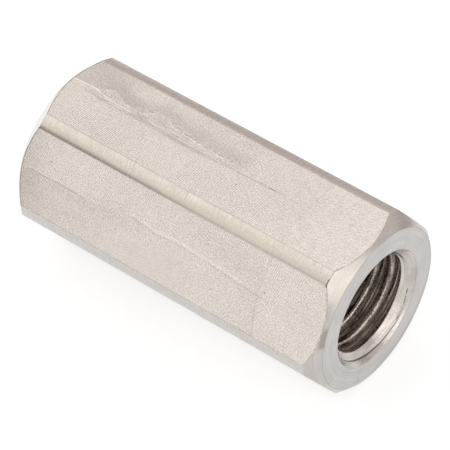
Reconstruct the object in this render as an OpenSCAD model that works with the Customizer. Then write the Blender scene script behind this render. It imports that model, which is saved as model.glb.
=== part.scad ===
// Hexagonal coupling nut, turned from round bar, milled on six sides and tapped from end to end.
// It lies on one of its flats. The bore runs along X and the origin is half way along it.

/* [Hexagon] */
// Distance across the flats, the spanner size (15/16 in)
across_flats = 23.8; // [22:0.1:32]
// Length over the two end faces (nominal 2 in)
nut_length = 50; // [20:0.5:100]
// How far the turned bar stays below the sharp corners of the hexagon, which leaves a round strip at each corner
corner_trim = 0.55; // [0.2:0.05:1.4]

/* [Ends] */
// Radial width of the chamfer turned on each end, measured in from the round strips
chamfer_w = 1.75; // [0.6:0.05:2.6]
// Slope of that chamfer, in degrees from the end face
chamfer_angle = 45; // [20:1:60]
// How far the countersink at each mouth is wider than the thread, on the radius
sink_margin = 0.45; // [0.1:0.05:1.2]
// Slope of the countersink, in degrees from the bore axis
sink_angle = 45; // [30:1:60]

/* [Thread] */
// Major diameter of the thread, at the bottom of its groove (5/8 in)
thread_d = 15.875; // [8:0.125:18]
// Advance of the thread in one turn (11 turns to the inch)
thread_pitch = 2.309; // [1:0.001:3]
// Height of the thread as a share of a full-height thread, as the drilled bore leaves it
thread_fill = 0.8; // [0.6:0.05:1]
// Angle between the two flanks of the groove
thread_angle = 60; // [50:1:62]
// Angle round the bore at which the groove crosses the face of the end at -X
thread_start = 207; // [0:1:359]

/* [Hidden] */

// Circles are true circles at this count
round_fn = 96;
// Points on each turn of the groove
turn_steps = 24;
// How far a cutting shape runs past the face it cuts
overrun = 1;

sides = 6;
half_side = 180 / sides;
across_corners = across_flats / cos(half_side);
bar_r = across_corners / 2 - corner_trim;

chamfer_h = chamfer_w * tan(chamfer_angle);
face_r = bar_r - chamfer_w;

// A full-height thread of this pitch, with its crest and root flats of P/4 and P/8
root_flat = thread_pitch / 8;
crest_flat = thread_pitch / 4;
full_height = (thread_pitch - root_flat - crest_flat) / 2 / tan(thread_angle / 2);
major_r = thread_d / 2;
minor_r = major_r - thread_fill * full_height;
sink_r = major_r + sink_margin;
sink_h = (sink_r - minor_r) / tan(sink_angle);

// Half width of the groove at radius r: half the root flat, opening with the flank
function groove_half(r) = root_flat / 2 + (major_r - r) * tan(thread_angle / 2);

// The groove's section, from inside the bore out to its root and back, as [radius, place along the axis].
// It starts inside the bore by as much as leaves neighbouring turns clear of each other.
open_r = minor_r - (thread_pitch / 2 - groove_half(minor_r)) / tan(thread_angle / 2) / 2;
groove_section = [
    [open_r, -groove_half(open_r)],
    [major_r, -root_flat / 2],
    [major_r, root_flat / 2],
    [open_r, groove_half(open_r)]
];
corners = len(groove_section);

// One section of the groove, turned to angle a and moved along the axis by z
function groove_ring(a, z) = [for (p = groove_section) [p[0] * cos(a), p[0] * sin(a), z + p[1]]];

// Right-handed groove: the section swept along a helix that starts before one mouth and ends past the other
module thread_groove() {
    turns = ceil(nut_length / thread_pitch) + 2;
    last = turns * turn_steps;
    rings = [
        for (i = [0:last])
            groove_ring(i * 360 / turn_steps, (i / turn_steps - 1) * thread_pitch)
    ];
    sides_of_sweep = [
        for (i = [0:last - 1])
            for (k = [0:corners - 1])
                let (a = corners * i + k, b = corners * i + (k + 1) % corners)
                    each [[a, b, b + corners], [a, b + corners, a + corners]]
    ];
    first_cap = [for (k = [corners - 1:-1:0]) k];
    last_cap = [for (k = [0:corners - 1]) corners * last + k];
    polyhedron(
        points = [for (ring = rings) each ring],
        faces = concat([first_cap], sides_of_sweep, [last_cap]),
        convexity = 10
    );
}

// The turned bar with a chamfer at each end, standing on its end face
module turned_bar() {
    rotate_extrude($fn = round_fn)
        polygon([
            [0, 0],
            [face_r, 0],
            [bar_r, chamfer_h],
            [bar_r, nut_length - chamfer_h],
            [face_r, nut_length],
            [0, nut_length]
        ]);
}

// The six milled flats, as the prism that they bound
module hexagon() {
    translate([0, 0, -overrun])
        rotate([0, 0, half_side])
            cylinder(r = across_corners / 2, h = nut_length + 2 * overrun, $fn = sides);
}

// The tapping drill's bore
module drilled_bore() {
    translate([0, 0, -overrun])
        cylinder(r = minor_r, h = nut_length + 2 * overrun, $fn = round_fn);
}

// The countersink at the mouth that faces down, cut with its cone carried on past the face
module countersink() {
    past = overrun * tan(sink_angle);
    translate([0, 0, -overrun])
        cylinder(r1 = sink_r + past, r2 = minor_r, h = sink_h + overrun, $fn = round_fn);
}

module nut_body() {
    color("silver")
        translate([-nut_length / 2, 0, 0])
            rotate([0, 90, 0])
                difference() {
                    intersection() {
                        turned_bar();
                        hexagon();
                    }
                    drilled_bore();
                    countersink();
                    translate([0, 0, nut_length])
                        mirror([0, 0, 1])
                            countersink();
                    rotate([0, 0, thread_start])
                        thread_groove();
                }
}

nut_body();
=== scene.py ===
# %% [markdown]
# # A coupling nut in milled, turned and tapped stainless steel
# A coupling nut joins two threaded rods end to end. This one is one piece of steel, 50 mm long and 23.8 mm across
# its flats, and its solid comes from the CAD frame. This script dresses it: it works the whole skin out again as
# one closed surface, with rounded edges, uneven round strips, tool steps and a smooth helical thread, and gives
# each machined zone its own finish.

# %% The frame
import math

import bpy
import numpy as np
from mathutils import Matrix, Vector


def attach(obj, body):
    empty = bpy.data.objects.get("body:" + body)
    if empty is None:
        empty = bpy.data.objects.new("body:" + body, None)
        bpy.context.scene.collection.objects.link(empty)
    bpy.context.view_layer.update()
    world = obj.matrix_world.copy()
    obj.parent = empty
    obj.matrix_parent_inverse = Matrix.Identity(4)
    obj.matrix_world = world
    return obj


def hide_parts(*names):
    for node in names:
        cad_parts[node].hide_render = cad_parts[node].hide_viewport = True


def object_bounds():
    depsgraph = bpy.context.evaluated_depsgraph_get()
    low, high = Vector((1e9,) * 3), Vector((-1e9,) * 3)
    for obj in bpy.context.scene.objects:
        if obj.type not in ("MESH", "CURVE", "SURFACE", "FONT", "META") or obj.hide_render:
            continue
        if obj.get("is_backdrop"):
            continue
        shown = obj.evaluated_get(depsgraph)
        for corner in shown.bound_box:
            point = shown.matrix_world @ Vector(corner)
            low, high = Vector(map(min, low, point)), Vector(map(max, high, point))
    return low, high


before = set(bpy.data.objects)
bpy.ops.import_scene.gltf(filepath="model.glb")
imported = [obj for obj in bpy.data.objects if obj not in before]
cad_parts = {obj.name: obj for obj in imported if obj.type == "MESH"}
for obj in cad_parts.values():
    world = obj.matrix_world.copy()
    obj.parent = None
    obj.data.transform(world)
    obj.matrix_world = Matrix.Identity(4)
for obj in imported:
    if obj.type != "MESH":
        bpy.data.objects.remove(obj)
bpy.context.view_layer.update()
MM = 0.001

# %% [markdown]
# ## The camera
# A long lens from about 0.4 m makes the far end only a little smaller than the near one. The place, the direction
# and the lean come from fitting a pinhole camera to the long edges and the two ends. The picture is square, so
# the sensor's width is also its height.

# %% The camera
SENSOR, FOCAL_LENGTH = 36.0, 247.06
LEAN = math.radians(-7.198)
eye = Vector((0.18001, -0.18724, 0.30387))
forward = Vector((-0.4494, 0.4685, -0.7606)).normalized()
level_right = forward.cross(Vector((0, 0, 1))).normalized()
level_up = level_right.cross(forward)
right = math.cos(LEAN) * level_right + math.sin(LEAN) * level_up
up = right.cross(forward)

lens = bpy.data.cameras.new("camera")
lens.sensor_width = SENSOR
lens.lens = FOCAL_LENGTH
lens.clip_start, lens.clip_end = 0.01, 20
camera = bpy.data.objects.new("camera", lens)
camera.matrix_world = Matrix.LocRotScale(eye, Matrix((right, up, -forward)).transposed(), None)
bpy.context.scene.collection.objects.link(camera)
bpy.context.scene.camera = camera
print("camera at", [round(v, 4) for v in eye], "looks down by", round(math.degrees(math.asin(-forward.z)), 1))

# %% [markdown]
# ## Sizes
# These repeat the sizes of the solid, in millimetres. The six flats are numbered round the nut, and each faces
# its own way, in degrees from +Y towards +Z. On the real nut the two strips beside the front flat aren't equally
# wide, which comes of a flat that was milled a trifle deep and out of turn. So that one lies 0.03 mm lower and is
# turned by 0.2 degrees.

# %% Sizes
ACROSS_FLATS = 23.8
HALF_LENGTH = 25.0
CORNER_TRIM = 0.55
CHAMFER = 1.75
SINK_MARGIN = 0.45
THREAD_D = 15.875
PITCH = 2.309
THREAD_FILL = 0.8
# A flank moves this much along the bore for each mm of radius
FLANK = math.tan(math.radians(30))
# The angle at which the middle of the groove crosses the end at -X
GROOVE_PHASE = 117.0

UPPER, FRONT = 1, 2
flat_in = np.array([0.0, 0.0, 0.03, 0.0, 0.0, 0.0])
flat_way = np.array([30.0, 90.0, 149.8, 210.0, 270.0, 330.0])
FLAT_AWAY = ACROSS_FLATS / 2
flat_r = FLAT_AWAY - flat_in
bar_r = FLAT_AWAY / math.cos(math.radians(30)) - CORNER_TRIM
face_r = bar_r - CHAMFER
major_r = THREAD_D / 2
root_half = PITCH / 16
full_height = (PITCH - PITCH / 8 - PITCH / 4) / 2 / FLANK
minor_r = major_r - THREAD_FILL * full_height
sink_r = major_r + SINK_MARGIN
sink_depth = sink_r - minor_r
print(f"bar {bar_r:.3f}, end face {face_r:.3f}, mouth {sink_r:.3f}, crests {minor_r:.3f}, grooves {major_r:.3f}")

# %% [markdown]
# ## Rounded joins
# Two machined surfaces never meet in a perfect corner: the cutter leaves an edge some hundredths of a millimetre
# round. A Bevel modifier could round them, but it would need every edge marked. A smooth minimum does it in one
# formula while the shape is worked out. Where the two values are further apart than k it is the plain minimum,
# and nearer than that it dips below both along a short parabola.

# %% Rounded joins
def smooth_min(a, b, k):
    """The lower of a and b, less (k - |a - b|)^2 / 4k where they are nearer than k."""
    return np.minimum(a, b) - np.maximum(k - np.abs(a - b), 0) ** 2 / (4 * k)


def smooth_max(a, b, k):
    """The higher of a and b, rounded in the same way."""
    return -smooth_min(-a, -b, k)


print("where both are 0 and k is 0.05, the smooth minimum is", smooth_min(0.0, 0.0, 0.05))

# %% [markdown]
# ## The outside
# The wall is the lower of three radii at each angle: the bar's, and those of the two nearest flats. A flat at
# distance a and direction w has the radius a / cos(angle - w). Grid lines run along every strip edge, closely
# spaced there and wider apart over the flats, so that the rounded edges come out smooth with few faces.
# Each flat was milled in two passes, which meet in a low step along its whole length. The lines are close
# together there too.

# %% The step between two passes
SEAM_HEIGHT, SEAM_WIDTH = 0.018, 0.16
# Where the second pass over a flat meets the first: (mm along the nut, mm across the flat)
UPPER_SEAM = [(-25, -0.6), (-23, -0.55), (-20.4, -0.4), (-19.3, -0.05), (-17.5, -0.15), (-9.6, -0.13), (-6.8, 0.08),
              (-3, 0.03), (3, -0.4), (10, -0.6), (25, -0.7)]
FRONT_SEAM = [(-25, 0.45), (-20.8, 0.3), (-16, 0.15), (-14, 0.3), (-10, -0.4), (-6.3, -0.8), (-2, -0.3), (1, -0.6),
              (7, -0.3), (14, 0.2), (25, 0.3)]
OTHER_SEAM_V = 0.3
OTHER_SEAM = [(-25, OTHER_SEAM_V), (25, OTHER_SEAM_V)]
seams = [OTHER_SEAM, UPPER_SEAM, FRONT_SEAM, OTHER_SEAM, OTHER_SEAM, OTHER_SEAM]
print("the upper flat's step wanders over", round(np.ptp(np.array(UPPER_SEAM)[:, 1]), 2), "mm")

# %% The angles of the outside
# In mm on the surface: the lines beside each strip edge, the outermost plain line on a flat, and the bare width
# that is left beside the lines of the step
EDGE_OFFSETS = np.array([-0.16, -0.1, -0.05, -0.02, 0.02, 0.05, 0.1, 0.16])
FLAT_REACH, SEAM_CLEAR, SEAM_STEP = 5.3, 0.1, SEAM_WIDTH * 0.4
FLAT_LINES, STRIP_LINES = 23, 8
degrees_per_mm = math.degrees(1 / bar_r)


def strip_edges(k):
    """The two angles at which flat k meets the bar: its direction less and plus acos(a / bar radius)."""
    half = np.degrees(np.arccos(flat_r[k] / bar_r))
    return flat_way[k] - half, flat_way[k] + half


angles = []
for k in range(6):
    low, high = strip_edges(k)
    edges = [low + EDGE_OFFSETS * degrees_per_mm, high + EDGE_OFFSETS * degrees_per_mm]
    seam_v = np.array(seams[k])[:, 1]
    seam_low, seam_high = seam_v.min() - SEAM_WIDTH, seam_v.max() + SEAM_WIDTH
    across = np.linspace(-FLAT_REACH, FLAT_REACH, FLAT_LINES)
    across = across[(across < seam_low - SEAM_CLEAR) | (across > seam_high + SEAM_CLEAR)]
    across = np.concatenate([across, np.arange(seam_low, seam_high, SEAM_STEP)])
    flat_lines = flat_way[k] + np.degrees(np.arctan2(across, flat_r[k]))
    next_low = strip_edges((k + 1) % 6)[0] + (360 if k == 5 else 0)
    strip_lines = np.linspace(high, next_low, STRIP_LINES)[1:-1]
    angles += [*edges, flat_lines, strip_lines]
angles = np.sort(np.concatenate(angles))
print(len(angles), "lines along the outside, at", round(float(np.diff(angles).min()), 3), "degrees or more")

# %% The wall's radius
EDGE_ROUND = 0.035
# In mm: how far from the front flat's edge its undercut is deepest, which is also its half width, and its depth
UNDERCUT_PLACE, UNDERCUT_DEPTH = 0.08, 0.04
# A flat counts where it is turned away by less than the angle of this cosine
FACING = 0.5


def turn_from(way, angle):
    """Turn in degrees from way to angle: their difference, folded into -180 to 180."""
    return (angle - way + 180) % 360 - 180


def from_flats(angle):
    """Turn in degrees from each of the six flats, in the last axis."""
    return turn_from(flat_way, angle[..., None])


def wall_radius(angle, drop=0.0):
    """The lowest of the bar's radius and each flat's (a - drop) / cos(angle - w), with the strip edges rounded.

    One edge of the front flat has an undercut as well: a bell curve exp(-d^2) of the distance from its middle.
    """
    cosine = np.cos(np.radians(from_flats(angle)))
    away = flat_r - np.asarray(drop)[..., None]
    flats = np.where(cosine > FACING, away / np.maximum(cosine, FACING), np.inf).min(-1)
    from_edge = (angle - strip_edges(FRONT)[0]) / degrees_per_mm - UNDERCUT_PLACE
    undercut = UNDERCUT_DEPTH * np.exp(-(from_edge / UNDERCUT_PLACE) ** 2)
    return smooth_min(flats, bar_r, EDGE_ROUND) - undercut


wall_r = wall_radius(angles)
print(f"the wall's radius runs from {wall_r.min():.3f} to {wall_r.max():.3f}")

# %% [markdown]
# ## From one end to the other
# A profile is carried round those angles: out over the end face, over the broken edge, along the 45 degree
# chamfer and onto the wall, then the same way back at the other end. On the chamfer the depth grows as fast as
# the radius, so the chamfer ends deeper at the strips than over the flats, which gives the scalloped ends.
# Cutting a cone away with a Boolean modifier gives the same scallops, but leaves long thin faces that shade badly.

# %% The rows of an end
# Radii at which the outside's grid ends and the mouth's begins, and the rounding of the chamfer's two edges
ZIP_OUT, ZIP_IN = 10.1, 9.9
FACE_ROUND, CHAMFER_ROUND = 0.05, 0.06
# Depth at which the first row of the chamfer starts, and how much of the chamfer is left to the edge rows
CHAMFER_FROM, CHAMFER_SPARE = 0.09, 0.2

face_rows = np.linspace(ZIP_OUT, face_r - 0.12, 4)
face_edge_steps = np.array([-0.06, -0.03, 0, 0.03, 0.06])
chamfer_share = np.array([0.15, 0.4, 0.65, 0.85])
chamfer_edge_steps = np.array([-0.08, -0.05, -0.025, 0, 0.025, 0.05, 0.08, 0.12])

edge_depth = wall_r - face_r
plain = np.concatenate([face_rows, face_r + face_edge_steps])[:, None] * np.ones_like(angles)
slope = np.vstack([CHAMFER_FROM + (edge_depth - CHAMFER_SPARE) * chamfer_share[:, None],
                   edge_depth + chamfer_edge_steps[:, None]])
depth = np.vstack([smooth_max(plain - face_r, 0, FACE_ROUND), slope])
radius = np.vstack([plain, smooth_min(face_r + slope, wall_r, CHAMFER_ROUND)])
print(len(depth), "rows from the end face to", round(float(depth[-1].max()), 2), "mm deep")

# %% The outside as a grid
WALL_ROWS = 60
# The step fades out this far from the ends, in mm
SEAM_FADE = 1.9
wall_start = depth[-1] - HALF_LENGTH
share = np.linspace(0, 1, WALL_ROWS + 2)[1:-1, None]
wall_x = wall_start * (1 - share) - wall_start * share
nearest_flat = np.abs(from_flats(angles)).argmin(-1)


def seam_drop(x):
    """SEAM_HEIGHT on the far side of the seam and 0 on the near side, with a smooth step, fading towards both ends.

    The smooth step is t^2 (3 - 2t), where t runs from 0 to 1 across the seam's width.
    """
    v = wall_r * np.sin(np.radians(turn_from(flat_way[nearest_flat], angles)))
    places = np.stack([np.interp(x, *np.array(seam, float).T) for seam in seams], -1)
    place = np.take_along_axis(places, np.broadcast_to(nearest_flat, x.shape)[..., None], -1)[..., 0]
    t = np.clip((v - place) / SEAM_WIDTH + 0.5, 0, 1)
    fade = np.clip(HALF_LENGTH - SEAM_FADE - np.abs(x), 0, 1)
    return SEAM_HEIGHT * (1 - t ** 2 * (3 - 2 * t)) * fade


outside_x = np.vstack([depth - HALF_LENGTH, wall_x, HALF_LENGTH - depth[::-1]])
outside_r = np.vstack([radius, wall_radius(angles, seam_drop(wall_x)), radius[::-1]])
print("outside grid:", outside_x.shape)

# %% [markdown]
# ## The thread
# A 60 degree groove runs round the bore as a right-handed helix. A Screw modifier could sweep its section, but the
# run-out in the countersinks would then need a boolean cut. Here the radius depends only on w, the distance along
# the bore from the groove's middle after the helix's own advance is taken off: flat at the root, then down both
# flanks, then flat again on the crest. The countersink is a second radius, and the wider of the two is the bore.

# %% The thread's radius
ROOT_ROUND, CREST_ROUND, SINK_ROUND = 0.05, 0.035, 0.03
# In mm: how far the countersink sits off the thread's axis, towards the angle 0, and over what depth this fades
OFF_CENTRE, OFF_FADE = 0.2, 0.6
# The countersink is carried this much past its own depth
SINK_PAST = 0.1


def groove_place(x, angle):
    """Distance along the bore from the nearest groove's middle: x less the advance, folded into one pitch."""
    advance = PITCH * (angle - GROOVE_PHASE) / 360
    return (x + HALF_LENGTH - advance + PITCH / 2) % PITCH - PITCH / 2


def thread_radius(x, angle, shift=0.0):
    """The groove's section at w: major radius, less (|w| - half the root) / tan 30 on the flanks, down to the crest."""
    w = np.abs(groove_place(x, angle))
    flank = major_r - (w - root_half) / FLANK
    return smooth_max(smooth_min(flank, major_r, ROOT_ROUND) + shift, minor_r, CREST_ROUND)


def bore_radius(x, angle):
    """The wider of the thread and the 45 degree countersink, whose radius falls as fast as the depth grows.

    The countersink isn't quite in line with the thread, so near the mouth the groove is shifted by the offset
    times cos(angle), fading out as the bore goes deeper.
    """
    depth = HALF_LENGTH - np.abs(x)
    fade = np.clip((sink_depth + SINK_PAST - depth) / OFF_FADE, 0, 1)
    shift = OFF_CENTRE * fade * np.cos(np.radians(angle))
    return smooth_max(thread_radius(x, angle, shift), sink_r - depth, SINK_ROUND)


quarter_turns = thread_radius(np.zeros(4), np.arange(4) * 90.0)
print("radii of the thread half way along, a quarter turn apart:", quarter_turns.round(3))

# %% [markdown]
# ## The lines of the bore
# In each mouth the grid's rows are plain rings, because the countersink is turned. Deeper in, the lines follow
# the helix, so crests and roots stay sharp with eleven lines to a turn.

# %% The mouths as a grid
BORE_LINES = 120
SINK_ROWS, SINK_FROM, SINK_TO = 34, 0.13, sink_depth + 0.3
bore_angles = np.arange(BORE_LINES) * 360 / BORE_LINES
mouth_r = np.array([ZIP_IN, 9.4, 8.9, sink_r + 0.08, sink_r + 0.04, sink_r + 0.015,
                    sink_r - 0.015, sink_r - 0.04, sink_r - 0.08])
mouth_depth = smooth_max(sink_r - mouth_r, 0, FACE_ROUND)
sink_rows = np.linspace(SINK_FROM, SINK_TO, SINK_ROWS)
near_x = HALF_LENGTH - np.concatenate([mouth_depth, sink_rows])[:, None] * np.ones(BORE_LINES)


def mouth_radius(x):
    """The end face's own radii on its rows, and the bore's radius on the rows further in."""
    return np.vstack([mouth_r[:, None] * np.ones(BORE_LINES), bore_radius(x[len(mouth_r):], bore_angles)])


near_r, far_r = mouth_radius(near_x), mouth_radius(-near_x)
print("each mouth:", near_x.shape)

# %% The thread's helical lines
# In mm: how far each bend of the section is from the lines on both sides of it, and where the flank's own line is
BESIDE_BEND, FLANK_LINE = 0.05, 0.42
crest_half = root_half + (major_r - minor_r) * FLANK
bends = np.array([-crest_half, -root_half, root_half, crest_half])
knots = np.sort(np.concatenate([bends - BESIDE_BEND, bends + BESIDE_BEND, [-FLANK_LINE, FLANK_LINE, PITCH / 2]]))
turns = np.arange(-1, math.ceil(2 * HALF_LENGTH / PITCH) + 2)
lines = (turns[:, None] * PITCH + knots).ravel()
helix_x = -HALF_LENGTH + lines[None, :] + PITCH * (bore_angles[:, None] - GROOVE_PHASE) / 360
helix_r = thread_radius(helix_x, bore_angles[:, None])
print(len(lines), "helical lines,", len(knots), "to a turn")

# %% [markdown]
# ## One closed skin
# Each grid becomes four-cornered faces between neighbouring lines, and the last angle joins the first. On the
# helix the last angle joins the first one a turn further on. Lines that run out of the thread at a mouth are
# snapped to its last ring, and faces with no width left are dropped. The outside and the bore have different
# numbers of lines, so a band of triangles on each end face zips the two rings together in order of angle.
# Separate surfaces that only touch would be less work, but then the nut wouldn't be watertight.
# Every face keeps its zone, which later picks its finish, and its lay, which tells the finish where it is.

# %% Grid helpers
ZONES = ["milled flat", "turned strip", "turned chamfer", "faced end", "countersink", "tapped thread"]
MILLED, STRIP, CHAMFERED, FACED, SUNK, TAPPED = range(6)
points, faces, zones, lays = [], [], [], []


def add_points(x, r, angle):
    """Adds the points (x, r cos angle, r sin angle), and returns their numbers in the shape of x."""
    a = np.radians(np.broadcast_to(angle, x.shape))
    start = sum(len(p) for p in points)
    points.append(np.stack([x, r * np.cos(a), r * np.sin(a)], -1).reshape(-1, 3))
    return start + np.arange(x.size).reshape(x.shape)


def add_faces(corners, zone, lay):
    """Adds faces with their zone, and the two lay coordinates of each of their corners."""
    faces.append(corners)
    zones.append(np.broadcast_to(zone, len(corners)))
    lays.append(lay)


def ring_quads(rows):
    """Faces between neighbouring rows of closed rings, and the row and column of each face's first corner."""
    n, m = rows.shape
    row, column = np.meshgrid(np.arange(n - 1), np.arange(m), indexing="ij")
    after = (column + 1) % m
    quads = np.stack([rows[row, column], rows[row, after], rows[row + 1, after], rows[row + 1, column]], -1)
    return quads, row, column


def zip_rings(outer, outer_angles, inner, inner_angles):
    """Triangles between two rings: all angles are sorted, and each one moves on the ring that it belongs to."""
    steps = np.concatenate([outer_angles, inner_angles])
    order = np.argsort(steps, kind="stable")
    is_outer = (np.arange(len(steps)) < len(outer))[order]
    o = (np.cumsum(is_outer) - 1) % len(outer)
    i = (np.cumsum(~is_outer) - 1) % len(inner)
    third = np.where(is_outer, outer[o], inner[i])
    return np.stack([outer[np.roll(o, 1)], third, inner[np.roll(i, 1)]], -1)


print(len(ZONES), "zones:", ", ".join(ZONES))

# %% The outside's faces
# The lay on the outside is in mm, and each flat has a lane of this width in it
LANE = 40.0
face_edge_row = len(face_rows) + int(np.abs(face_edge_steps).argmin())
chamfer_edge_row = len(depth) - len(chamfer_edge_steps) + int(np.abs(chamfer_edge_steps).argmin())

outside = add_points(outside_x, outside_r, angles)
quads, row, column = ring_quads(outside)
after = (column + 1) % len(angles)
middle = (angles[column] + angles[after] + np.where(after == 0, 360, 0)) / 2 % 360
nearest = np.abs(from_flats(middle)).argmin(-1)
reach = np.degrees(np.arccos(flat_r / bar_r))[nearest]
on_flat = np.abs(turn_from(flat_way[nearest], middle)) < reach
from_end = np.minimum(row, len(outside) - 2 - row)
wall_zone = np.where(on_flat, MILLED, STRIP)
zone = np.where(from_end < face_edge_row, FACED, np.where(from_end < chamfer_edge_row, CHAMFERED, wall_zone))


def corner_lay(rows, columns):
    """Lay of a face's corners in mm: x along the nut, and r sin(turn) across its flat, plus a lane for each flat."""
    turn = np.radians(turn_from(flat_way[nearest], angles[columns]))
    return np.stack([outside_x[rows, columns], outside_r[rows, columns] * np.sin(turn) + LANE * nearest], -1)


lay = np.stack([corner_lay(row, column), corner_lay(row, after),
                corner_lay(row + 1, after), corner_lay(row + 1, column)], -2)
add_faces(quads.reshape(-1, 4), zone.ravel(), lay.reshape(-1, 4, 2))
print(zone.size, "faces outside, of which", int((zone == MILLED).sum()), "on the flats")

# %% The mouths' faces
# The end face's finish runs over the mouth's rounded edge for this many rows, and the countersink's for so many more
MOUTH_FACE_ROWS, SUNK_ROWS = 7, 28


def along_helix(x, angle):
    """Distance along the bore less the helix's advance: the same all along one line of the thread."""
    return x + HALF_LENGTH - PITCH * (angle - GROOVE_PHASE) / 360


def mouth_faces(rows, x, r, flip):
    """Faces of one mouth's grid, turned over at the far end.

    Their lay is the angle, and the radius or, where the tap has cut, the place along the helix.
    """
    quads, row, column = ring_quads(rows)
    sunk_or_tapped = np.where(row < len(mouth_r) + SUNK_ROWS, SUNK, TAPPED)
    mouth_zone = np.where(row < MOUTH_FACE_ROWS, FACED, sunk_or_tapped)

    def lay_at(m, n):
        """The lay in row m and column n, where the angle goes on past 360 in the last column."""
        angle, ring = n * 360 / BORE_LINES, n % BORE_LINES
        return np.stack([angle, np.where(mouth_zone == TAPPED, along_helix(x[m, ring], angle), r[m, ring])], -1)

    lay = np.stack([lay_at(row, column), lay_at(row, column + 1),
                    lay_at(row + 1, column + 1), lay_at(row + 1, column)], -2)
    if flip:
        quads, lay = quads[..., ::-1], lay[..., ::-1, :]
    add_faces(quads.reshape(-1, 4), mouth_zone.ravel(), lay.reshape(-1, 4, 2))


near = add_points(near_x, near_r, bore_angles)
far = add_points(-near_x, far_r, bore_angles)
mouth_faces(near, near_x, near_r, False)
mouth_faces(far, -near_x, far_r, True)

near_zip = zip_rings(outside[-1], angles, near[0], bore_angles)
far_zip = zip_rings(outside[0], angles, far[0], bore_angles)[:, ::-1]
for zipped in (near_zip, far_zip):
    add_faces(np.hstack([zipped, zipped[:, -1:]]), FACED, np.zeros((len(zipped), 4, 2)))
print(len(near_zip), "triangles zip each end face")

# %% The thread's faces
# A helical line that comes this near to the mouth's last ring, in mm, or passes it, ends on that ring
SNAP = 0.012
thread_end = float(near_x[-1, 0])
helix = add_points(helix_x, helix_r, bore_angles[:, None])
helix = np.where(helix_x > thread_end - SNAP, near[-1][:, None], helix)
helix = np.where(helix_x < SNAP - thread_end, far[-1][:, None], helix)
turn_on = np.hstack([helix[0, len(knots):], np.full(len(knots), near[-1][0])])
beside = np.vstack([helix[1:], turn_on])
quads = np.stack([helix[:, :-1], helix[:, 1:], beside[:, 1:], beside[:, :-1]], -1).reshape(-1, 4)

this = np.stack(np.broadcast_arrays(bore_angles[:, None], lines[None, :]), -1)
following = this + [360 / BORE_LINES, 0]
helix_lay = np.stack([this[:, :-1], this[:, 1:], following[:, 1:], following[:, :-1]], -2).reshape(-1, 4, 2)
distinct = (np.diff(np.sort(quads, 1)) > 0).sum(1) + 1
add_faces(quads[distinct > 2], TAPPED, helix_lay[distinct > 2])
print(int((distinct > 2).sum()), "faces on the thread,", int((distinct < 3).sum()), "without width dropped")

# %% [markdown]
# ## Into Blender
# The arrays go into one mesh. foreach_set takes each of them whole, which is far quicker than adding one vertex
# after another. A face whose corner repeats becomes a triangle. The lay coordinates become a UV map, so that
# cutter marks can follow each surface: on the outside they are millimetres along the nut and across the flat, on
# the ends they are the angle and the radius, and in the thread the angle and the place on the helix.

# %% Into Blender
all_points = np.concatenate(points)
all_faces = np.concatenate(faces)
all_zones = np.concatenate(zones)
all_lays = np.concatenate(lays)

keep = all_faces != np.roll(all_faces, -1, axis=1)
loop_totals = keep.sum(1)
loop_starts = np.concatenate([[0], np.cumsum(loop_totals)[:-1]])
used, loops = np.unique(all_faces[keep], return_inverse=True)

mesh = bpy.data.meshes.new("coupling_nut")
mesh.vertices.add(len(used))
mesh.vertices.foreach_set("co", (all_points[used] * MM).astype(np.float32).ravel())
mesh.loops.add(len(loops))
mesh.loops.foreach_set("vertex_index", loops.astype(np.int32))
mesh.polygons.add(len(all_faces))
mesh.polygons.foreach_set("loop_start", loop_starts.astype(np.int32))
mesh.polygons.foreach_set("material_index", all_zones.astype(np.int32))
mesh.update(calc_edges=True)
mesh.uv_layers.new(name="lay").uv.foreach_set("vector", all_lays[keep].astype(np.float32).ravel())
mesh.polygons.foreach_set("use_smooth", np.ones(len(all_faces), bool))
print("changed by validate:", mesh.validate(verbose=False))

nut = bpy.data.objects.new("coupling_nut", mesh)
bpy.context.scene.collection.objects.link(nut)
print(len(all_faces), "faces,", int((loop_totals - 2).sum()), "triangles,", len(used), "points")
print("faces in each zone:", dict(zip(ZONES, np.bincount(all_zones).tolist())))

# %% [markdown]
# ## Writing finishes as expressions
# A finish is a tree of shader nodes. It could be wired by hand in the editor, but a long formula is easier to read
# and to change as arithmetic. Two small classes do that: a Signal is one output, and sums or products of signals
# and numbers add the Math nodes. Every other node comes from Finish.node, which takes the node's type, its
# settings, and the values or links of its sockets.

# %% Signal
class Signal:
    """One output socket of a finish, with arithmetic."""

    def __init__(self, finish, socket):
        self.finish, self.socket = finish, socket

    def __add__(self, other):
        return self.finish.maths("ADD", self, other)

    def __sub__(self, other):
        return self.finish.maths("SUBTRACT", self, other)

    def __rsub__(self, other):
        return self.finish.maths("SUBTRACT", other, self)

    def __mul__(self, other):
        return self.finish.maths("MULTIPLY", self, other)

    def __truediv__(self, other):
        return self.finish.maths("DIVIDE", self, other)

    __radd__, __rmul__ = __add__, __mul__

    def size(self):
        return self.finish.maths("ABSOLUTE", self)

    def root(self):
        return self.finish.maths("SQRT", self)

    def wave(self):
        return self.finish.maths("SINE", self)

    def at_most(self, limit):
        return self.finish.maths("MINIMUM", self, limit)

    def at_least(self, limit):
        return self.finish.maths("MAXIMUM", self, limit)

    def fold(self, period):
        """The distance from the nearest whole period, from minus half a period to plus half."""
        return self.finish.maths("WRAP", self, period / 2, -period / 2)

    def rise(self, low, high):
        """0 below low and 1 above high, with a smooth step between."""
        return self.finish.node("ShaderNodeMapRange", {"interpolation_type": "SMOOTHSTEP"},
                                {"Value": self, "From Min": low, "From Max": high})

    def within(self, low, high, soft):
        """1 from low to high, falling to 0 over soft on both sides."""
        return self.rise(low - soft, low) * (1 - self.rise(high, high + soft))

    def line(self, middle, half, soft):
        """1 within half of middle, falling to 0 over soft. The middle may be a signal."""
        return 1 - (self - middle).size().rise(half, half + soft)


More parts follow.
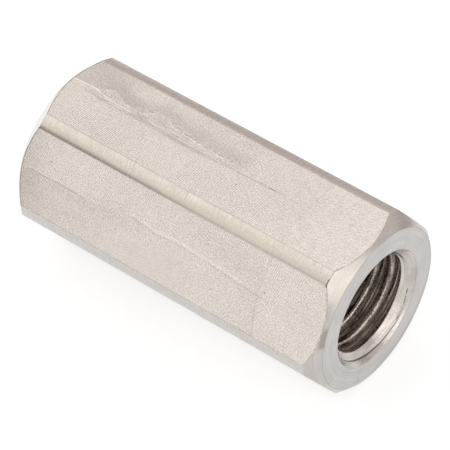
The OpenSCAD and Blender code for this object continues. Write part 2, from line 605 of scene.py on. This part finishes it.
print("a Signal adds its own nodes for", ", ".join(n for n in vars(Signal) if not n.startswith("__")))


# %% Finish
class Finish:
    """A tree of shader nodes under construction: a material's, or the world's."""

    def __init__(self, tree):
        self.tree = tree
        tree.nodes.clear()

    def node(self, kind, settings=None, values=(), output=0):
        """Adds a node: settings first (stops are a ramp's places and levels), then each socket's value or link."""
        made = self.tree.nodes.new(kind)
        for name, value in (settings or {}).items():
            if name == "stops":
                ramp = made.color_ramp
                while len(ramp.elements) < len(value):
                    ramp.elements.new(1)
                for element, (place, level) in zip(ramp.elements, value):
                    element.position, element.color = place, (level, level, level, 1)
            else:
                setattr(made, name, value)
        for name, value in (values.items() if isinstance(values, dict) else enumerate(values)):
            if isinstance(value, Signal):
                self.tree.links.new(value.socket, made.inputs[name])
            else:
                made.inputs[name].default_value = value
        return Signal(self, made.outputs[output]) if made.outputs else None

    def maths(self, operation, *values):
        """A Math node with this operation."""
        return self.node("ShaderNodeMath", {"operation": operation}, values)

    def split(self, vector, parts=(0, 1, 2)):
        """The parts of a vector, each as a number."""
        return [self.node("ShaderNodeSeparateXYZ", values=[vector], output=n) for n in parts]

    def place(self):
        """Where a point is on the piece, in metres."""
        return self.node("ShaderNodeTexCoord", output="Object")

    def lay(self):
        """The two lay coordinates."""
        return self.split(self.node("ShaderNodeUVMap", {"uv_map": "lay"}), (0, 1))

    def join(self, x, y, z=0.0):
        """A vector of three numbers."""
        return self.node("ShaderNodeCombineXYZ", values=[x, y, z])

    def noise(self, where, scale, detail=2.0, rough=0.5):
        """Soft noise about 0, mostly between -0.25 and 0.25."""
        sockets = {"Vector": where, "Scale": scale, "Detail": detail, "Roughness": rough}
        return self.node("ShaderNodeTexNoise", values=sockets) - 0.5

    def curve(self, along, stops, low, high):
        """Straight lines from each (along, level) point in mm to the next: a ramp, scaled to go from low to high."""
        def share(x):
            """The place along the nut as a share: 0 at one end and 1 at the other."""
            return (x + HALF_LENGTH) / (2 * HALF_LENGTH)

        places = [(share(a), (v - low) / (high - low)) for a, v in stops]
        return self.node("ShaderNodeValToRGB", {"stops": places}, [share(along)]) * (high - low) + low

    def mix(self, share, a, b):
        """Colour a where share is 0 and b where it is 1."""
        return self.node("ShaderNodeMix", {"data_type": "RGBA"}, {0: share, 6: a, 7: b}, output=2)

    def steel(self, colour, rough, relief):
        """The metal itself: colour and roughness vary, and the relief, in mm, tilts the normal."""
        bump = self.node("ShaderNodeBump", values={"Strength": 1.0, "Distance": MM, "Height": relief})
        metal = self.node("ShaderNodeBsdfPrincipled",
                          values={"Base Color": colour, "Metallic": 1.0, "Roughness": rough, "Normal": bump})
        self.node("ShaderNodeOutputMaterial", values=[metal])


def new_finish(name):
    """An empty material, and the Finish that builds its nodes."""
    material = bpy.data.materials.new(name)
    material.use_nodes = True
    return material, Finish(material.node_tree)


def srgb(*levels):
    """Linear colour of three 0-255 levels: ((c + 0.055) / 1.055) ^ 2.4, or c / 12.92 in the darkest part."""
    c = np.array(levels) / 255
    return (*np.where(c > 0.04045, ((c + 0.055) / 1.055) ** 2.4, c / 12.92), 1.0)


print("a grey of 128 in 255 is", round(float(srgb(128, 128, 128)[0]), 3), "in linear light")

# %% [markdown]
# ## The milled flats
# A face mill crosses each flat and leaves fine arcs across it, spaced by its feed. On the two flats that are seen
# there are single marks as well. All of this could be painted as a picture, but a picture is only as sharp as its
# pixels. Here every mark is a formula in millimetres on the lay, so it stays sharp and can be moved by one number.
# p holds what these formulas share: the place on the flat, the masks of the two seen flats, and common noises.

# %% Where a mark lies on its flat
# In mm: half the width of lay that belongs to a flat, and how far its edges are from its middle line
LANE_HALF, FLAT_EDGE = 7.0, 5.66


class FlatPlace:
    """The lay on a flat. along is mm along the nut, and v is mm from the flat's own middle line."""

    def __init__(self, f):
        self.along, self.across = f.lay()
        self.here = f.join(self.along, self.across)
        self.v = self.across.fold(LANE)
        self.upper, self.front = [self.across.within(k * LANE - LANE_HALF, k * LANE + LANE_HALF, 1)
                                  for k in (UPPER, FRONT)]
        self.grain = f.noise(self.here, 5.2, 2.0, 0.8) * 1.1 + f.noise(self.here, 2.4, 2.0, 0.8) * 0.2
        self.wander = f.noise(f.join(self.along, self.across * 0.05), 0.5, 3.0)
        self.broken = f.noise(f.join(self.along, 0.0), 0.4, 3.0)
        self.upper_step = f.curve(self.along, UPPER_SEAM, -2, 1)
        self.front_step = f.curve(self.along, FRONT_SEAM, -2, 2) + self.wander * 0.2


print("the upper flat's lane is", UPPER * LANE - LANE_HALF, "to", UPPER * LANE + LANE_HALF)

# %% The cutter's arcs
# In mm: the feed from one arc to the next, and how much an arc bends for each mm squared across
FEED, ARC_BEND = 0.29, 0.02


def cutter_arcs(f, p):
    """A sine wave of (along + bend * v^2) over the feed, strongest along the lower half of the upper flat."""
    bent = p.along + p.v * p.v * ARC_BEND + p.front * p.v * 0.42 + p.wander * 0.5
    patches = f.noise(p.here, 0.22, 1.0).rise(-0.15, 0.05) + p.upper * p.v.rise(0, 2)
    return (bent * (2 * math.pi / FEED)).wave() * patches.at_most(1.0) * (0.8 + f.noise(p.here, 1.5, 3.0) * 2)


def plain_tone(f, p, arcs):
    """Brightness without the single marks: 0.52 and a sum of grain, arcs, mottling and broad patches."""
    aslant = f.noise(f.join(p.along * 0.87 - p.v * 0.49, (p.along * 0.5 + p.v * 0.87) * 5), 1.1, 2.0, 0.6)
    mottle = f.noise(p.here, 0.7, 3.0, 0.7)
    patches = f.noise(f.join(p.along * 0.6, p.across), 0.16, 1.0)
    on_upper = (0.07 + p.v.rise(-1, 2) * 0.13) * (1 - p.along.rise(10, 15) * 0.8)
    tone = 0.52 + p.grain * (1.8 + p.upper * (0.3 - p.along.rise(5, 15) * 0.5)) + p.upper * 0.03
    tone = tone + arcs * (0.09 + p.upper * on_upper + p.front * 0.08) + mottle * 0.28 + patches * 0.2
    return tone + p.upper * (aslant * p.along.rise(6, 15) * 0.8 + p.along.rise(4, 20) * 0.07)


print(round(2 * HALF_LENGTH / FEED), "arcs from end to end")

# %% [markdown]
# ## The torn metal
# Along the step on the upper flat the second pass has torn the steel and smeared it. Beyond the tear's ragged
# edge the metal is greyed, and between the edge and the step lies a streaked tongue with a shadow beside it. The
# edge is a line of points, made ragged by noise, and each kind of mark is a band at its own distance from it.

# %% The torn metal
# The tear's edge, as (mm along the nut, mm across the flat)
TEAR = [(-25, -1.2), (-21, -1.42), (-20.2, -1.46), (-19.2, -2.07), (-18.7, -2.37), (-17.8, -2.27), (-16.5, -1.64),
        (-15.9, -1.4), (-13, -1.35), (-12.3, -1.8), (-11.1, -2.5), (-9.2, -2.25), (-7.6, -1.6), (-1.5, -1.2),
        (25, -1.2)]


def torn_metal(f, p):
    """The change in brightness along the tear, and the shares of the smear, the greyed left part and the tongue.

    above is the distance from a point to the tear's ragged edge, positive on the side away from the step.
    """
    along, v, grain = p.along, p.v, p.grain
    ragged = f.noise(p.here, 0.9, 3.0, 0.7) * 0.7 + f.noise(p.here, 4.0, 2.0, 0.7) * 0.35
    above = f.curve(along, TEAR, -3, 0) + ragged * (0.3 + along.rise(-18, -13) * 0.9) - v
    torn = p.upper * along.within(-20.5, 2.5, 2.5)
    left = p.upper * (1 - (along - v * 0.8).rise(-18.0, -10.0)) * above.rise(-0.02, 0.1)
    smear = torn * above.rise(-0.05, 0.1) * (1 - above.rise(0.9, 2.7)) * along.rise(-21, -15)
    speckle = torn * above.within(0, 0.5, 0.5) * along.rise(-18, -13) * f.noise(p.here, 3.3, 2.0, 0.7)
    rim = torn * above.line(-0.05, 0.02, 0.1) * (0.4 + f.noise(p.here, 1.2, 3.0) * 5)
    from_step = p.upper_step - v
    tongue = torn * (0 - above).rise(0.05, 0.2) * from_step.rise(0.1, 0.2)
    streaks = f.noise(f.join(along * 0.35, p.across * 5), 1.0, 3.0)
    shaded = along.within(-14, -3, 2) + along.within(-19.8, -18.4, 0.6)
    shadow = tongue * (1 - from_step.rise(0.3, 0.5)) * shaded
    tone = rim * 0.26 + tongue * (streaks * 1.2 - 0.04) - shadow * (0.22 + grain) + speckle * 1.5
    return tone - smear * (0.14 + grain * 0.6) - left * (0.15 + grain * 0.1), smear, left, tongue


print("the tear's edge has", len(TEAR), "points")

# %% [markdown]
# ## Where two passes meet
# The step between two passes catches the light on one side and is dark on the other. It is a real step in the
# mesh, but only a fiftieth of a millimetre high, so a thin line along it says what a few faces can't. The cutter
# also paused near the right end, and left one arc darker than the others.

# %% Where two passes meet
# The bright part of the upper flat's step: (mm along the nut, mm across the flat)
BRIGHT_LINE = [(-25, -1.2), (-22.6, -1.27), (-20.7, -1.35), (-19.3, -1.0), (-18, -0.75), (-14.8, -0.63), (25, -0.6)]
# Where the cutter paused, in mm along the nut
DARK_ARC = 14.4


def step_lines(f, p):
    """The change in brightness along the steps and beside them, and the share of the upper flat's dark line."""
    along, v, upper, front, broken = p.along, p.v, p.upper, p.front, p.broken
    seam = upper * v.line(p.upper_step, 0.03, 0.1) * along.within(-21, 9.5, 2) * (0.7 + broken * 1.5)
    bright = upper * v.line(f.curve(along, BRIGHT_LINE, -2, 0), 0.03, 0.08) * along.within(-26, -15, 1.5)
    front_left = front * v.line(p.front_step, 0.04, 0.15) * along.within(-22.5, -14.5, 1.5)
    front_middle = front * v.line(p.front_step, 0.05, 0.16) * along.within(-5, 14, 3) * (0.7 + broken * 2.0)
    front_rim = front * v.line(p.front_step - 0.35, 0.1, 0.25) * along.within(-4, 10, 4)
    other = (1 - upper - front) * v.line(OTHER_SEAM_V + p.wander * 0.2, 0.04, 0.12) * (0.6 + broken * 2)
    tone = bright * 0.36 + front_rim * 0.12 - seam * 0.38 - front_left * 0.27 - front_middle * 0.14 - other * 0.2

    lower_left = (v - p.front_step).rise(0, 0.4) * (1 - along.rise(-17, -2))
    tone = tone - front * (0.05 + lower_left * 0.1 + (1 - along.rise(-25, -19)) * 0.16)
    cutter = along - v * v * ARC_BEND
    dark_arc = cutter.line(DARK_ARC, 0.03, 0.15) * (0.08 + front * v.rise(0, 2) * 0.12)
    return tone + cutter.rise(DARK_ARC - 0.1, DARK_ARC + 0.2) * 0.03 - dark_arc, seam


print("the bright line has", len(BRIGHT_LINE), "points")

# %% [markdown]
# ## Small marks and edges
# A few pits, a scratch and a hair line lie on the flats. Along its long edges and its chamfered ends each flat
# has a dark or bright line, where the broken edge turns away from the light.

# %% Small marks and edges
# (mm along the nut, mm across in the lay, radius in mm)
PITS = [(4.5, 41.35, 0.07), (23.35, 45.2, 0.06), (-20.2, 77.9, 0.07), (15.2, 79.4, 0.07), (23.25, 74.35, 0.16)]
PIT_SOFT = 0.07


def pit_marks(p):
    """The sum of all pits."""
    def pit(along, across, radius):
        """1 where the distance sqrt(a^2 + b^2) from the pit's middle is below its radius, and 0 a little outside."""
        a, b = p.along - along, p.across - across
        return 1 - (a * a + b * b).root().rise(radius, radius + PIT_SOFT)

    return sum(pit(*place) for place in PITS)


def edge_marks(f, p):
    """The change in brightness along the edges, the front flat's undercut, and the dark line at the far end.

    to_chamfer is the distance to the chamfer: the depth from the end, less the radius, plus the end face's radius.
    """
    along, v, front = p.along, p.v, p.front
    border = (v.size() - front * 0.1).line(FLAT_EDGE, 0.03, 0.09) * (0.6 + p.broken * 1.8)
    # The undercut is a real groove, and its dark line is painted shade
    undercut = front * v.line(-FLAT_EDGE, 0.06, 0.12) * (1 - along.rise(-18, 14) * 0.7) * (0.9 + p.grain * 2)
    to_chamfer = HALF_LENGTH - along.size() - (v * v + FLAT_AWAY ** 2).root() + face_r
    uneven = f.noise(p.here, 0.9, 2.0)
    end_line = to_chamfer.line(0.03, 0.03, 0.08) * (0.5 + uneven * 2)
    far_line = to_chamfer.line(0.04, 0.06, 0.1) * (1 - along.rise(-20, -18)) * (0.7 + uneven * 1.5)
    hair = front * (along + v * 0.08 + 0.16).line(14.1, 0.03, 0.06) * v.within(-5.1, -4.0, 0.3)
    tone = hair * 0.35 - border * (0.38 + front * v.rise(0, 1) * 0.25) - end_line * 0.7
    return tone, undercut, far_line


print(len(PITS), "pits on the flats")

# %% Milled flats
MILLED_DARK, MILLED_LIGHT = srgb(172, 164, 156), srgb(255, 246, 237)
SMEARED, EDGE_SHADOW, PITTED = srgb(176, 170, 168), srgb(118, 106, 96), srgb(110, 96, 84)


def milled_flat():
    """The sum of all brightnesses, from dark to light steel, with the smear, the edges and the pits mixed over it."""
    material, f = new_finish(ZONES[MILLED])
    p = FlatPlace(f)
    arcs = cutter_arcs(f, p)
    torn, smear, left, tongue = torn_metal(f, p)
    stepped, seam = step_lines(f, p)
    edged, undercut, far_line = edge_marks(f, p)
    pits = pit_marks(p)
    scratch = p.upper * p.v.line(-0.55, 0.02, 0.06) * p.along.within(8.3, 9.5, 0.2)

    tone = plain_tone(f, p, arcs) + torn + stepped + edged
    colour = f.mix(tone.at_least(0.0), MILLED_DARK, MILLED_LIGHT)
    colour = f.mix(smear * 0.12 + left * 0.14 + tongue * 0.12, colour, SMEARED)
    colour = f.mix((undercut * 0.78 + far_line * 0.6).at_most(1.0), colour, EDGE_SHADOW)
    colour = f.mix((pits + scratch * 0.8).at_most(1.0) * 0.75, colour, PITTED)
    relief = p.grain * 0.004 + arcs * 0.001 + smear * 0.004 - seam * 0.01 - undercut * 0.01 - pits * 0.02
    f.steel(colour, 0.36 + p.grain * 0.2 + smear * 0.05, relief)
    return material


mesh.materials.append(milled_flat())
print(ZONES[MILLED], "has", len(mesh.materials[MILLED].node_tree.nodes), "nodes")

# %% [markdown]
# ## Turned strips
# The strips are what is left of the turned bar, so fine lines run across them, and they mirror the room in
# bands. A few cuts cross the middle strip, some with a bright lip that is a painted highlight. The middle strip is
# also darker and warmer towards its lower edge, as painted shade. All marks are noise or lines on the lay, as on
# the flats, since that keeps them in line with the strip.

# %% Turned strips
# Ranges of the lay across the nut, in mm: the strip between the two seen flats, its lower half, that half's lower
# edge, and the strip below the front flat
MIDDLE_STRIP, LOWER_HALF, LOWER_EDGE, BOTTOM_STRIP = (44, 75), (72, 75), (74.25, 75), (84, 116)
# (mm along the nut, half width, softness, strength)
CUTS = [(-8.28, 0.02, 0.07, 1.0), (-7.85, 0.01, 0.05, 0.5), (0.36, 0.02, 0.07, 1.0), (-0.2, 0.02, 0.2, 0.3)]
STRIP_DARK, STRIP_LIGHT = srgb(180, 175, 170), srgb(217, 210, 204)
WARM, COOL, CUT_SHADOW = srgb(196, 184, 171), srgb(196, 197, 200), srgb(104, 92, 82)


def turned_strip():
    """Brightness 0.5 and a sum of noises stretched round the nut, less the cuts, then warm, cool and dark shares.

    The painted shade grows to 1 on the lower half of the middle strip, by the distance across the strip.
    """
    material, f = new_finish(ZONES[STRIP])
    along, across = f.lay()
    lines = f.noise(f.join(along * 3.5, across * 0.4), 1.0, 4.0, 0.8)
    fine = f.noise(f.join(along * 6, across * 0.8), 1.0, 2.0, 0.7)
    mottle = f.noise(f.join(along * 0.25, across), 1.0, 2.0)
    grain = f.noise(f.join(along, across), 6.0, 2.0, 0.8)

    middle, lower = across.within(*MIDDLE_STRIP, 0.5), across.within(*LOWER_HALF, 0.3)
    cuts = sum(along.line(place, half, soft) * strength for place, half, soft, strength in CUTS)
    # Painted highlights on the middle strip, by two of the cuts
    shine = along.line(-8.42, 0.03, 0.05) * (0.3 + lower) + along.line(1.05, 0.04, 0.12) * (0.2 + grain * 3)
    # Painted shade: the middle strip darkens towards its lower half
    painted_shade_low = (across.fold(LANE) - bar_r / 2).fold(bar_r).rise(-0.6, 0.9) * middle
    tone = 0.5 + lines * 1.4 + fine * 1.7 + mottle * 0.5 + grain * 1.4
    tone = tone - middle * cuts * 0.7 + middle * shine * 0.6 - painted_shade_low * 0.5

    warm = middle * f.noise(f.join(along * 0.22, across * 0.6), 1.0, 2.0).rise(-0.15, 0.2) * (0.4 + lower * 0.6)
    # Painted shade along the middle strip's lower edge, and in its dark corner by the near chamfer
    shade = across.within(*LOWER_EDGE, 0.5) * (1 - along.rise(-16, 8) * 0.9) * (0.55 + grain * 2)
    notch = across.within(73.3, 75, 0.5) * along.line(23.2, 0.05, 0.07) + middle * along.line(23.25, 0.02, 0.05) * 0.4
    colour = f.mix(tone, STRIP_DARK, STRIP_LIGHT)
    colour = f.mix((warm * 0.45 + painted_shade_low * 0.2).at_most(1.0), colour, WARM)
    colour = f.mix(across.within(*BOTTOM_STRIP, 0.5) * 0.28, colour, COOL)
    colour = f.mix((shade + notch).at_most(0.9), colour, CUT_SHADOW)
    f.steel(colour, 0.22 + lines * 0.15, lines * 0.004 + grain * 0.002)
    return material


mesh.materials.append(turned_strip())
print(ZONES[STRIP], "has", len(mesh.materials[STRIP].node_tree.nodes), "nodes, and", len(CUTS), "cuts")

# %% [markdown]
# ## Turned ends
# The chamfers, the end faces and the countersinks were turned as well, and there the marks are rings round the
# bore. They need no lay: the distance from the bore's axis is enough. One function makes all three. What is
# seen in single places comes from a second function for each, and x rising from 0 to 1 keeps it to the near end.

# %% Turned ends
def turned_end(zone, dark, light, rough, ring_scale, ring_strength, blotch, marks, dents=0.0):
    """Rings: noise on the distance sqrt(y^2 + z^2) from the bore's axis, stretched a long way round it.

    dents is the height in mm of broad unevenness. marks(f, x, y, z, radius, grain) gives a brightening, then the
    share and the colour of a stain, of painted shade or of painted light, for what is seen on one of these surfaces
    only.
    """
    material, f = new_finish(ZONES[zone])
    x, y, z = [part / MM for part in f.split(f.place())]
    radius = (y * y + z * z).root()
    flat = f.join(y, z, x * 3)
    rings = f.noise(f.join(radius * ring_scale + f.noise(flat, 0.15, 1.0) * 4, y * 0.12, z * 0.12 + x), 1.0, 4.0, 0.7)
    grain = f.noise(flat, 5.0, 2.0, 0.7)
    mottle = f.noise(flat, 0.35, 2.0)
    tone = 0.5 + rings * ring_strength + grain * 0.9 + mottle * blotch
    brighter, share, stain = marks(f, x, y, z, radius, grain)
    colour = f.mix(tone + brighter, srgb(*dark), srgb(*light))
    colour = f.mix(share.at_most(1.0), colour, stain)
    relief = rings * 0.004 + grain * 0.002 + f.noise(flat, 1.3, 3.0, 0.6) * dents
    f.steel(colour, rough + rings * 0.1, relief)
    mesh.materials.append(material)
    print(ZONES[zone], "has", len(f.tree.nodes), "nodes")


PAINTED_LIGHT_TINT, BROWN_STAIN = srgb(255, 253, 251), srgb(140, 128, 116)


def chamfer_marks(f, x, y, z, radius, grain):
    """A brownish stain on the near chamfer's left side, by the end face, and painted light on the far chamfer's front.
    """
    near = x.rise(0, 1)
    side = (0 - y).rise(2, 6) * near
    brown = (1 - radius.rise(11.7, 12.2)) * z.within(3.9, 5.6, 1.0) * (0.6 + grain)
    stain = side * (brown + z.within(8.8, 9.8, 0.7) * 0.15)
    # Painted light on the far chamfer, on its front and upper part
    far = (1 - near) * (0 - y).rise(0, 3) * z.rise(-4, 0)
    return 0.0, stain + far * 0.6, f.mix(near, PAINTED_LIGHT_TINT, BROWN_STAIN)


turned_end(CHAMFERED, (174, 169, 165), (206, 201, 197), rough=0.26, ring_scale=5.0, ring_strength=0.9, blotch=0.6,
           marks=chamfer_marks)

# %% The end faces
# In mm from the bore's axis, as (y, z)
NICK, FACE_PIT = (-4.93, -9.43), (9.37, 6.3)
FACE_SHADOW = srgb(110, 98, 90)


def face_marks(f, x, y, z, radius, grain):
    """A broken line along the outer edge, a nick and a pit by it, a brighter left part and a darker band low down."""
    edge = radius.line(face_r - 0.02, 0.02, 0.08) * (0.6 + f.noise(f.join(y, z), 0.5, 3.0) * 3)
    nick = y.line(NICK[0], 0.03, 0.08) * z.line(NICK[1], 0.18, 0.1)
    pit = y.line(FACE_PIT[0], 0.06, 0.08) * z.line(FACE_PIT[1], 0.04, 0.06)
    bright = (0 - y).rise(2, 9) * z.rise(-8, 0)
    low_band = radius.rise(10.2, 11.2) * (0 - z).rise(1, 8) * (y + 6).rise(0, 5)
    return bright * 0.12 - low_band * 0.3, (edge + (nick + pit) * x.rise(0, 1)) * 0.6, FACE_SHADOW


turned_end(FACED, (172, 168, 166), (210, 206, 203), rough=0.33, ring_scale=6.0, ring_strength=1.9, blotch=0.6,
           marks=face_marks)

# %% [markdown]
# ## The countersinks
# The thread runs out through the near countersink. The photograph shows torn specks and a burr where the tap ran
# in, a dark gap at the top, a brown patch below, dark broken lines along both edges, and a step in brightness
# along a line through the bore. They are finer than the mesh's faces, so they are part of the finish. The specks
# and the burr are painted highlights. The gap, the step and the line where the thread runs out are painted shade,
# and the brown patch is partly stain and partly painted shade. Each is a band of radius times a band of height and
# side.

# %% The countersinks
GAP_SHADOW = srgb(70, 60, 56)


def mouth_marks(f, x, y, z, radius, grain):
    """Brightening: painted highlights on the specks and the burr. Darkening: painted shade in the step and the gap,
    the brown patch, partly painted shade, and the dark lines, painted shade where the thread runs out.
    """
    flat = f.join(y, z, x * 3)
    near = x.rise(0, 1)
    # Painted highlights on the torn specks
    specks = f.noise(flat, 2.2, 3.0, 0.8).rise(0.1, 0.22) * (y.rise(-2, 2) + (0 - z).rise(2, 5))
    specks = specks * (1 - x.rise(24.97, 24.99))
    burr = radius.line(7.12, 0.04, 0.05) * z.rise(-4, 0) * y.rise(3, 5) * near
    shade = (z + y * 0.58).rise(-0.2, 0.2) * y.rise(3, 5) * near
    brighter = specks * 0.7 * (1 - shade * 0.7) + burr * 0.4 - shade * 0.03

    top = z.rise(1.0, 3.5) * y.rise(3.5, 5.0) * near
    # Painted shade: a line in the gap at the top, and a patch where the thread starts
    gap = radius.line(7.28, 0.06, 0.06) * top + (1 - radius.rise(7.45, 7.75)) * z.rise(5.2, 5.9) * near
    # The brown patch is partly a real stain and partly painted shade
    brown = (y - 0.6 - grain * 4).within(-3.6, -0.8, 0.8) * (0 - z).rise(4, 6) * radius.rise(7.75, 7.95) * near
    # A dark broken line of painted shade along the thread's run-out
    tear = (radius + (y - 5.2).at_least(0.0) * 0.12).line(7.98, 0.03, 0.05)
    tear = tear * z.within(-6.6, -3.5, 0.4) * y.rise(3.5, 4.5)
    edge = radius.line(8.35, 0.02, 0.05) * y.rise(6, 7) * z.within(-4.6, 3.5, 1.0)
    notch = radius.within(8.0, 8.35, 0.08) * (0 - y).rise(6.8, 7.6) * z.within(-4.0, -1.2, 0.4)
    broken = f.noise(flat, 0.9, 3.0, 0.8).rise(-0.08, 0.06) * near
    dark = (tear * 0.8 + edge * 0.35 + notch * 0.7) * broken
    return brighter, gap * 0.95 + brown * 0.15 + dark, GAP_SHADOW


turned_end(SUNK, (168, 161, 157), (214, 208, 203), rough=0.25, ring_scale=6.0, ring_strength=0.9, blotch=1.3,
           marks=mouth_marks, dents=0.05)

# %% [markdown]
# ## The tapped thread
# The tap leaves a rough surface deep in the bore, with burrs along the crests. Its steel is far darker here than
# elsewhere, as painted shade for the dark bore that it mirrors, and the crests' corners get a painted highlight. A
# darkening by ambient occlusion would find the hollows, but not the crests' corners. The lay does both: its second
# coordinate, folded into one pitch, tells how far a point is from the middle of its groove.

# %% Tapped thread
# The dark end is far darker than the steel elsewhere: painted shade for the dark bore that the thread mirrors
THREAD_SHADE, THREAD_LIGHT = srgb(52, 38, 33), srgb(242, 229, 219)


def tapped_thread():
    """Brightness 0.6 plus grain and smear, lower on flanks and crests, with a painted highlight on the crests' corners.

    w is the distance from the groove's middle, and top is painted shade just inside the near mouth.
    """
    material, f = new_finish(ZONES[TAPPED])
    angle, helix = f.lay()
    here = f.place()
    x, z = [part / MM for part in f.split(here, (0, 2))]
    w = helix.fold(PITCH).size()
    grain = f.noise(here, 4500.0, 3.0, 0.8)
    smear = f.noise(f.join(angle * 0.03, helix * 5), 1.0, 3.0)
    flank = w.within(root_half, crest_half, 0.1)
    crest = w.rise(crest_half, crest_half + 0.05)
    # Painted highlight along the crests' corners
    corner = w.line(crest_half, 0.03, 0.09)
    top = x.rise(22.3, 24.0) * z.rise(4.0, 6.0)
    tone = 0.6 + grain * 2.3 + smear * 2.8 - flank * 0.1 - crest * 0.2 + corner * (0.12 + grain * 1.5) - top * 0.5
    f.steel(f.mix(tone, THREAD_SHADE, THREAD_LIGHT), 0.4 + grain * 0.2, grain * 0.008 + smear * 0.006)
    return material


mesh.materials.append(tapped_thread())
print(ZONES[TAPPED], "has", len(mesh.materials[TAPPED].node_tree.nodes), "nodes")
print("finishes in order:", [finish.name for finish in mesh.materials] == ZONES)

# %% [markdown]
# ## Floor and light
# The nut lies on a plain white table under a white sky, and its metal shows both. The floor is a mid grey that
# glows for direct rays only, so that it looks white and keeps the nut's soft shadow. Two cards stand behind the
# nut, a dark one and a paler one above it, where only shiny surfaces see them: bright metal needs something
# darker to reflect, or its round surfaces look flat.

# %% Floor
FLOOR_COLOUR, FLOOR_GLOW = (0.55, 0.55, 0.55), 1.14
FLOOR_Z, SPAN = -FLAT_AWAY * MM, 3.0


def seen_directly(f):
    """1 for rays from the camera and for those that metal or glass passes on, else 0."""
    rays = [f.node("ShaderNodeLightPath", output=n) for n in ("Is Camera Ray", "Is Glossy Ray", "Is Transmission Ray")]
    return rays[0].at_least(rays[1].at_least(rays[2]))


def stage_plane(name, corners, colour, glow):
    """A plain plane of the stage: a matt colour, and as much glow in that colour, seen by direct rays only."""
    plane = bpy.data.meshes.new(name)
    plane.from_pydata(corners, [], [(0, 1, 2, 3)])
    made = bpy.data.objects.new(name, plane)
    bpy.context.scene.collection.objects.link(made)
    material, f = new_finish(name)
    matt = f.node("ShaderNodeBsdfDiffuse", values={"Color": (*colour, 1)})
    light = f.node("ShaderNodeEmission", values={"Color": (*colour, 1), "Strength": seen_directly(f) * glow})
    f.node("ShaderNodeOutputMaterial", values=[f.node("ShaderNodeAddShader", values=[matt, light])])
    plane.materials.append(material)
    made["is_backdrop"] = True
    return made


floor_corners = [(x * SPAN, y * SPAN, FLOOR_Z) for x, y in ((-1, -1), (1, -1), (1, 1), (-1, 1))]
stage_plane("floor", floor_corners, FLOOR_COLOUR, FLOOR_GLOW)
print("floor at", round(FLOOR_Z / MM, 2), "mm")

# %% Cards
# In metres: how far behind the nut the cards stand, and where their left and right edges are
CARD_Y, CARD_LEFT, CARD_RIGHT = 0.06, -0.3, 0.16
CARD_GLOW = 0.4


def hidden_card(name, bottom, top, colour):
    """A card behind the nut that only shiny surfaces see. Each edge has a height at the left and at the right."""
    corners = [(CARD_LEFT, CARD_Y, bottom[0]), (CARD_RIGHT, CARD_Y, bottom[1]),
               (CARD_RIGHT, CARD_Y, top[1]), (CARD_LEFT, CARD_Y, top[0])]
    card = stage_plane(name, corners, colour, CARD_GLOW)
    card.visible_camera = False
    card.visible_diffuse = False
    card.visible_shadow = False
    print(name, "is", round((CARD_RIGHT - CARD_LEFT) / MM), "mm wide")


hidden_card("dark_card", bottom=(0.037, -0.029), top=(0.056, -0.008), colour=(0.66, 0.61, 0.585))
hidden_card("grey_card", bottom=(0.056, -0.008), top=(0.085, 0.085), colour=(0.85, 0.8, 0.8))

# %% [markdown]
# ## Sky and lamps
# The sky is even. It lights matt surfaces at 0.8, while the camera and the metal's reflections see it quite
# white. Two softboxes add a warm shine on the right and on the upper left. They are lamps and not planes, so
# that they don't show against the white.

# %% Sky
SKY_LIGHT = 0.8
world = bpy.data.worlds.new("studio")
bpy.context.scene.world = world
world.use_nodes = True
sky = Finish(world.node_tree)
sky_level = SKY_LIGHT + seen_directly(sky) * (1 - SKY_LIGHT)
background = sky.node("ShaderNodeBackground", values={"Color": (1, 1, 1, 1), "Strength": sky_level})
sky.node("ShaderNodeOutputWorld", values=[background])
print("the sky lights at", SKY_LIGHT)


# %% Lamps
def softbox(name, place, width, height, level, tint):
    """A panel that faces the nut. Its energy is level * pi * area, and a mirror would show it as bright as level."""
    lamp = bpy.data.lights.new(name, "AREA")
    lamp.shape = "RECTANGLE"
    lamp.size, lamp.size_y = width, height
    lamp.energy = level * math.pi * width * height
    lamp.color = tint
    made = bpy.data.objects.new(name, lamp)
    made.location = place
    made.rotation_mode = "QUATERNION"
    made.rotation_quaternion = (-Vector(place)).to_track_quat("-Z", "Y")
    made.visible_camera = False
    bpy.context.scene.collection.objects.link(made)
    print(name, "stands", round(Vector(place).length, 2), "m away and gives", round(lamp.energy, 2), "W")


softbox("softbox_right", (0.83, -0.035, 0.27), width=0.73, height=0.37, level=0.88, tint=(1.0, 0.92, 0.8))
softbox("softbox_above", (-0.36, -0.24, 0.71), width=0.4, height=0.4, level=0.4, tint=(1.0, 0.9, 0.7))

bpy.context.scene.view_settings.view_transform = "Standard"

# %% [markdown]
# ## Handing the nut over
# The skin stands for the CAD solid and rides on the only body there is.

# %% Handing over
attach(nut, "root")
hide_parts("nut_body")

low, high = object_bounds()
print("visual box in mm:", [round(v / MM, 3) for v in (*low, *high)])
